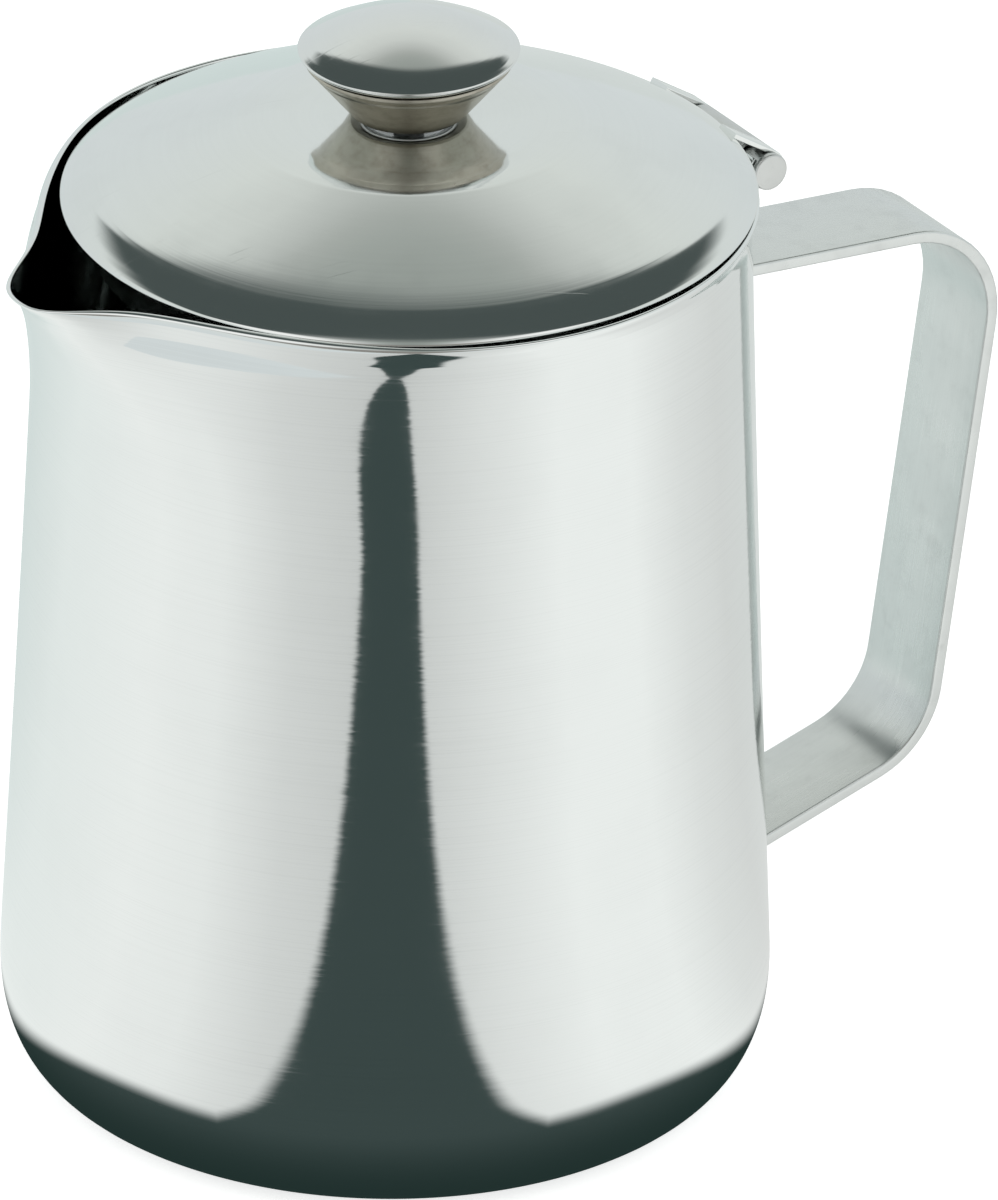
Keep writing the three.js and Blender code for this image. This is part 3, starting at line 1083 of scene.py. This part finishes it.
@dataclass
class Lid:
    """The spun lid with its ears, and the skirt under it."""

    hinge: Hinge
    settle: float = 0.8
    set_back: float = 2.3
    radius: float = 51.1
    edge_height: float = 140.15
    top: float = 152.7
    sheet: float = 0.8
    flat_radius: float = 19.4
    dome_start: Point = (25.0, 151.83)
    dome_end: float = 46.0
    dome_slope: float = 0.318
    dome_curve: float = 0.00342
    skirt_radius: float = 46.6
    skirt_bottom: float = 132.5
    screw_hole: float = 2.3
    gap: float = 0.3

    def dome(self, r: float) -> float:
        """Height of the dome's outside at a radius."""
        out = r - self.dome_start[0]
        return self.dome_start[1] - self.dome_slope * out - self.dome_curve * out * out

    def profile(self) -> list[Point]:
        """The lid's section, up the inside from the rim and down the outside."""
        z = self.edge_height
        steps = 60
        plateau = [(self.screw_hole, self.top), (10.0, self.top), (self.flat_radius - 2.2, self.top)]
        shoulder = smooth_line(
            [
                (self.flat_radius - 1.0, self.top - 0.01),
                (self.flat_radius, self.top - 0.05),
                (self.flat_radius + 1.2, self.top - 0.17),
                (self.flat_radius + 3.2, self.top - 0.42),
                self.dome_start,
            ],
            6,
        )
        inner, span = self.dome_start[0], self.dome_end - self.dome_start[0]
        radii = [inner + span * i / steps for i in range(1, steps + 1)]
        dome = [(r, self.dome(r)) for r in radii]
        edge = smooth_line(
            [
                dome[-1],
                *[(self.radius - inset, z + up) for inset, up in EDGE],
                (self.radius - 3.0, z + 1.3),
                (self.dome_end, self.dome(self.dome_end) - self.sheet * 1.08),
            ],
            6,
        )
        under_r = [43.0, 40.0, 35.0, 30.0, 25.0]
        under = [(r, self.dome(r) - self.sheet * 1.08) for r in under_r]
        inside = [*under, (self.flat_radius, self.top - self.sheet), (self.screw_hole, self.top - self.sheet)]
        outside = [*plateau, *shoulder, *dome[:-1], *edge]
        ring = [*outside, *inside, outside[0]]
        return ring[::-1]

    def build(self, shop: Workshop) -> bpy.types.Object:
        """Spins the lid and joins its ears to it."""
        dome = shop.spin("lid_sheet", self.profile(), shop.rack.lid, 360, centre_x=self.set_back)
        pieces = [dome, *self.hinge.build_ears(shop)]
        chosen = {"selected_editable_objects": pieces, "selected_objects": pieces}
        with bpy.context.temp_override(active_object=dome, **chosen):
            bpy.ops.object.join()
        return shop.hand_over(dome, "lid", Slot.LID, "lid_shell")

    def build_skirt(self, shop: Workshop) -> bpy.types.Object:
        """Spins the ring that keeps the lid centred in the mouth."""
        inner = self.skirt_radius - self.sheet

        def under(r: float) -> float:
            """Height just under the dome at a radius."""
            return self.dome(r) - self.sheet * 1.08 - self.gap

        low = self.skirt_bottom
        corners = [
            (inner, (low + under(inner)) / 2),
            (inner, low + self.sheet),
            (inner - 1.2, low + self.sheet),
            (inner - 1.2, low),
            (self.skirt_radius, low),
            (self.skirt_radius, under(self.skirt_radius)),
            (inner, under(inner) - 0.1),
            (inner, (low + under(inner)) / 2),
        ]
        profile = eased(corners, [0.0, 0.15, 0.3, 0.3, 0.8, 0.2, 0.2, 0.0], 5)
        piece = shop.spin("lid_skirt_ring", profile[::-1], shop.rack.rolled, 256, centre_x=self.set_back)
        return shop.hand_over(piece, "lid", Slot.PLAIN, "lid_skirt")


@dataclass
class Knob:
    """Turned knob with its polished cap, on a washer."""

    lid: Lid
    foot: float = 153.5
    band: float = 162.2
    cap_widest: float = 163.5
    top: float = 168.5
    radius: float = 16.2
    gap: float = 0.3

    def build_body(self, shop: Workshop) -> bpy.types.Object:
        """Turns the knob's cone with its stepped band."""
        hole = self.lid.screw_hole
        corners = [
            (0.0, self.foot + 6.0),
            (hole, self.foot + 6.0),
            (hole, self.foot),
            (8.3, self.foot),
            (8.7, self.foot + 0.35),
            (14.0, self.band - 1.9),
            (14.2, self.band - 1.5),
            (15.2, self.band - 0.5),
            (15.2, self.band),
            (0.0, self.band),
        ]
        profile = eased(corners, [0, 0, 0.1, 0.2, 0.2, 0.3, 0.3, 0.25, 0.15, 0], 4)
        piece = shop.spin("knob_turned", profile, shop.rack.turned, 192, centre_x=self.lid.set_back)
        return shop.hand_over(piece, "lid", Slot.TURNED, "knob_body")

    def build_cap(self, shop: Workshop) -> bpy.types.Object:
        """Turns the knob's crowned cap."""
        seat = self.band + self.gap
        edge = self.radius - 0.3
        fall = self.top - self.cap_widest - 0.2
        shares = [1 - i / 40 for i in range(1, 40)]
        crown = [(share * edge, self.top - fall * share**2) for share in shares]
        start = (edge, self.cap_widest + 0.25)
        rim = smooth_line([(15.2, seat), (15.9, seat + 0.4), (self.radius, self.cap_widest), start], 6)
        profile = [(0.0, seat), (8.0, seat), (14.9, seat), *rim, *crown, (0.0, self.top)]
        piece = shop.spin("knob_crown", profile, shop.rack.cap, 256, centre_x=self.lid.set_back)
        return shop.hand_over(piece, "lid", Slot.JUG, "knob_cap")

    def build_washers(self, shop: Workshop) -> list[bpy.types.Object]:
        """Turns the washer under the knob and the lock washer under the lid."""
        high = self.lid.top - self.lid.sheet - 0.15
        made = []
        for name, node, outer, low, top in (
            ("washer_under_knob", "knob_washer", 6.8, self.lid.top + 0.15, self.foot - 0.15),
            ("washer_under_lid", "lock_washer", 6.0, high - 0.8, high),
        ):
            hole = self.lid.screw_hole
            middle = (hole, (low + top) / 2)
            corners = [middle, (hole, low), (outer, low), (outer, top), (hole, top), middle]
            profile = eased(corners, [0.0, 0.1, 0.15, 0.15, 0.1, 0.0], 3)
            piece = shop.spin(name, profile, shop.rack.plain, 96, centre_x=self.lid.set_back)
            made.append(shop.hand_over(piece, "lid", Slot.PLAIN, node))
        return made


# Studio


@dataclass
class Studio:
    """Pale floor, soft light, the dark things that stand behind the camera, and the camera itself.

    The hood is a dark zone of the light above the camera. The strip is a painted reflection, a dark zone of
    the floor's glow that runs from the jug to the camera, and the foot shadow is a painted shadow, a dark
    round under the jug, smaller behind it; round them the glow is painted lighter or darker by bearing. Only
    polished steel sees them, as painted reflections; the camera sees the floor plain pale. Angles are in
    degrees and the lens in sensor millimetres.
    """

    azimuth: float = -32.0
    elevation: float = 27.46
    distance: float = 2000.0
    target_height: float = 65.0
    lens: float = 404.4
    roll: float = 0.81
    aim_right: float = 16.181
    aim_down: float = -7.352
    # Sizes of the painted reflections on the floor's glow: the dark strip's half width and the painted foot
    # shadow's reach.
    painted_strip_half_width: float = 44.0
    foot_shadow: float = 83.0
    foot_shadow_back: float = 64.0
    floor_half_width: float = 6000.0
    hood_edge: float = 0.27
    hood_curve: float = 1.35

    @property
    def right(self) -> Vector:
        """Level direction to the camera's right."""
        turn = math.radians(self.azimuth)
        return Vector((math.cos(turn), math.sin(turn), 0.0))

    @property
    def forward(self) -> Vector:
        """Level direction from the jug to the camera."""
        turn = math.radians(self.azimuth)
        return Vector((math.sin(turn), -math.cos(turn), 0.0))

    def build_camera(self) -> None:
        """Stands the camera and aims it."""
        rise = math.radians(self.elevation)
        back = self.forward * math.cos(rise) + Vector((0.0, 0.0, math.sin(rise)))
        up = back.cross(self.right)
        spot = Vector((0.0, 0.0, self.target_height)) + back * self.distance
        aim = Vector((0.0, 0.0, self.target_height)) + self.right * self.aim_right - up * self.aim_down
        look = (spot - aim).normalized()
        roll = math.radians(self.roll)
        across = self.right * math.cos(roll) + up * math.sin(roll)
        across = (across - look * across.dot(look)).normalized()
        rise_dir = look.cross(across)
        data = bpy.data.cameras.new("studio_camera")
        data.lens = self.lens
        data.sensor_width = 36.0
        data.sensor_fit = "AUTO"
        data.clip_start = 0.1
        data.clip_end = 50.0
        camera = bpy.data.objects.new("studio_camera", data)
        turned = Matrix((across, rise_dir, look)).transposed().to_4x4()
        camera.matrix_world = Matrix.Translation(spot * MM) @ turned
        bpy.context.scene.collection.objects.link(camera)
        bpy.context.scene.camera = camera

    def build_light(self) -> None:
        """Fills the world with soft light: dim overhead, brighter lower down, dark in the hood."""
        world = bpy.data.worlds.new("studio_light")
        world.use_nodes = True
        world.cycles.sampling_method = "NONE"
        bpy.context.scene.world = world
        bench = Bench(world.node_tree)
        world.node_tree.nodes.clear()
        way = bench.wire("ShaderNodeTexCoord", {}, {}, "Generated")
        dot = {"operation": "DOT_PRODUCT"}
        side = bench.wire("ShaderNodeVectorMath", dot, {0: way, 1: tuple(self.right)}, "Value")
        front = bench.wire("ShaderNodeVectorMath", dot, {0: way, 1: tuple(self.forward)}, "Value")
        _, _, rise = bench.split(way)
        level = (side * side + front * front).root()
        soft = bench.stops(
            level,
            [
                (0.0, (0.35, 0.36, 0.35)),
                (0.3, (0.355, 0.385, 0.36)),
                (0.38, (0.385, 0.415, 0.39)),
                (0.44, (0.44, 0.465, 0.44)),
                (0.51, (0.55, 0.575, 0.55)),
                (0.61, (0.67, 0.70, 0.67)),
                (0.75, (0.735, 0.77, 0.74)),
                (0.9, (0.73, 0.77, 0.76)),
                (1.0, (0.71, 0.755, 0.76)),
            ],
        )
        safe = rise.most(0.05)
        p = side / safe
        q = front / safe
        edge = q + self.hood_edge + p * p * self.hood_curve
        hood = edge.ramp(-0.03, 0.05) * (1.0 - abs(p).ramp(0.85, 1.1))
        lamp = q.ramp(0.04, 0.2) * (1.0 - q.ramp(0.6, 1.0))
        lamp_tone = bench.blend(abs(p).ramp(0.0, 0.5), (0.3, 0.33, 0.31), (1.0, 1.0, 0.99))
        front_wall = bench.blend(q.ramp(0.6, 1.0), (0.07, 0.088, 0.085), (0.28, 0.27, 0.25))
        ahead = bench.blend(lamp, front_wall, lamp_tone)
        lit = bench.blend(hood * (rise > 0.0), soft, ahead)
        seen = bench.wire("ShaderNodeLightPath", {}, {}, "Is Camera Ray")
        colour = bench.blend(seen, lit, (1.0, 1.0, 1.0))
        glow = bench.node("ShaderNodeBackground", {}, {"Color": colour, "Strength": 1.0})
        out = bench.node("ShaderNodeOutputWorld")
        world.node_tree.links.new(glow.outputs[0], out.inputs[0])

    def floor_material(self) -> bpy.types.Material:
        """Pale floor for the camera; polished steel sees painted reflections on it: dark strip and foot
        shadow.
        """
        pale = bpy.data.materials.new("studio_floor")
        pale.use_nodes = True
        pale.cycles.emission_sampling = "NONE"
        bench = Bench(pale.node_tree)
        pale.node_tree.nodes.clear()
        place = bench.wire("ShaderNodeTexCoord", {}, {}, "Object")
        dot = {"operation": "DOT_PRODUCT"}
        side = bench.wire("ShaderNodeVectorMath", dot, {0: place, 1: tuple(self.right)}, "Value") / MM
        front = bench.wire("ShaderNodeVectorMath", dot, {0: place, 1: tuple(self.forward)}, "Value") / MM
        reach = (side * side + front * front).root() + 0.001
        bearing = bench.wire("ShaderNodeMath", {"operation": "ARCTAN2"}, {0: side, 1: front})
        turn = bearing / math.tau + 0.5

        def tone(degrees: float, level: float, cool: float = 1.0) -> tuple[float, Colour]:
            """A stop of the painted reflection tones at an angle from the camera's side of the jug."""
            return (degrees / 360.0 + 0.5, (level * cool, level * 1.02, level))

        # Painted reflection: the floor's glow for glossy rays, lighter or darker by bearing round the jug.
        painted_reflection_tones = bench.stops(
            turn,
            [
                tone(-180, 0.72, 0.9),
                tone(-150, 0.74, 0.92),
                tone(-110, 0.88, 0.97),
                tone(-70, 0.93),
                tone(-48, 0.88),
                tone(-28, 0.72),
                tone(0, 0.6),
                tone(28, 0.8),
                tone(50, 0.94),
                tone(75, 0.94),
                tone(95, 0.8),
                tone(115, 0.72),
                tone(180, 0.72, 0.95),
            ],
        )
        # Painted reflection: a dark strip on the glow, from the jug towards the camera.
        w = self.painted_strip_half_width
        strip = (1.0 - abs(side).ramp(w - 5.0, w + 4.0)) * (front > 0.0)
        # Painted shadow: a dark round under the jug, smaller behind it, seen only in reflections.
        rim = (front / reach).ramp(-0.1, 0.7, self.foot_shadow_back, self.foot_shadow)
        foot = 1.0 - (reach - rim).ramp(-8.0, 3.0)
        dark = strip.most(foot)
        # Colour of the painted strip and the painted foot shadow, darkest next to the jug.
        deep = bench.blend(reach.ramp(52.0, 84.0), (0.018, 0.034, 0.031), (0.048, 0.07, 0.067))
        painted_reflection_colour = bench.blend(dark, painted_reflection_tones, deep)
        # The painted reflections glow as an emission that only glossy rays see.
        painted_reflection_glow = bench.node("ShaderNodeEmission", {}, {"Color": painted_reflection_colour, "Strength": 1.0})
        cloth = bench.node("ShaderNodeBsdfDiffuse", {}, {"Color": (0.9, 0.9, 0.9)})
        lift = bench.node("ShaderNodeEmission", {}, {"Color": (1.0, 1.0, 1.0), "Strength": 0.75})
        pale_sum = bench.node("ShaderNodeAddShader")
        bench.tree.links.new(cloth.outputs[0], pale_sum.inputs[0])
        bench.tree.links.new(lift.outputs[0], pale_sum.inputs[1])
        # Glossy rays see the painted reflections; camera and other rays see the pale floor.
        glossy = bench.wire("ShaderNodeLightPath", {}, {}, "Is Glossy Ray")
        mix = bench.node("ShaderNodeMixShader", {}, {0: glossy})
        bench.tree.links.new(pale_sum.outputs[0], mix.inputs[1])
        bench.tree.links.new(painted_reflection_glow.outputs[0], mix.inputs[2])
        out = bench.node("ShaderNodeOutputMaterial")
        bench.tree.links.new(mix.outputs[0], out.inputs[0])
        return pale

    def build_floor(self) -> None:
        """Lays the floor just under the jug."""
        mesh = bpy.data.meshes.new("studio_floor")
        half, drop = self.floor_half_width, -0.3
        corners = [(-half, -half), (half, -half), (half, half), (-half, half)]
        mesh.from_pydata([(x * MM, y * MM, drop * MM) for x, y in corners], [], [(0, 1, 2, 3)])
        mesh.materials.append(self.floor_material())
        floor = bpy.data.objects.new("studio_floor", mesh)
        bpy.context.scene.collection.objects.link(floor)

    def build(self) -> None:
        """Builds the whole set."""
        bpy.context.scene.view_settings.view_transform = "Standard"
        bpy.context.scene.cycles.glossy_bounces = 10
        self.build_camera()
        self.build_light()
        self.build_floor()


def main() -> None:
    """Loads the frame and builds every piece."""
    logging.basicConfig(level=logging.INFO, format="%(message)s", stream=sys.stdout)
    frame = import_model()
    body = JugBody()
    hinge = Hinge(body)
    lid = Lid(hinge)
    rack = FinishRack(lid.set_back)
    shop = Workshop(rack, hinge.turned(-lid.settle))
    Studio().build()
    body.build(shop)
    Strap(body).build(shop)
    hinge.build_knuckle(shop)
    hinge.build_pin(shop)
    lid.build(shop)
    lid.build_skirt(shop)
    knob = Knob(lid)
    knob.build_body(shop)
    knob.build_cap(shop)
    knob.build_washers(shop)
    screw = frame["nodes"]["knob_screw"]
    screw.data.materials.clear()
    screw.data.materials.append(rack.plain)


if __name__ == "__main__":
    main()
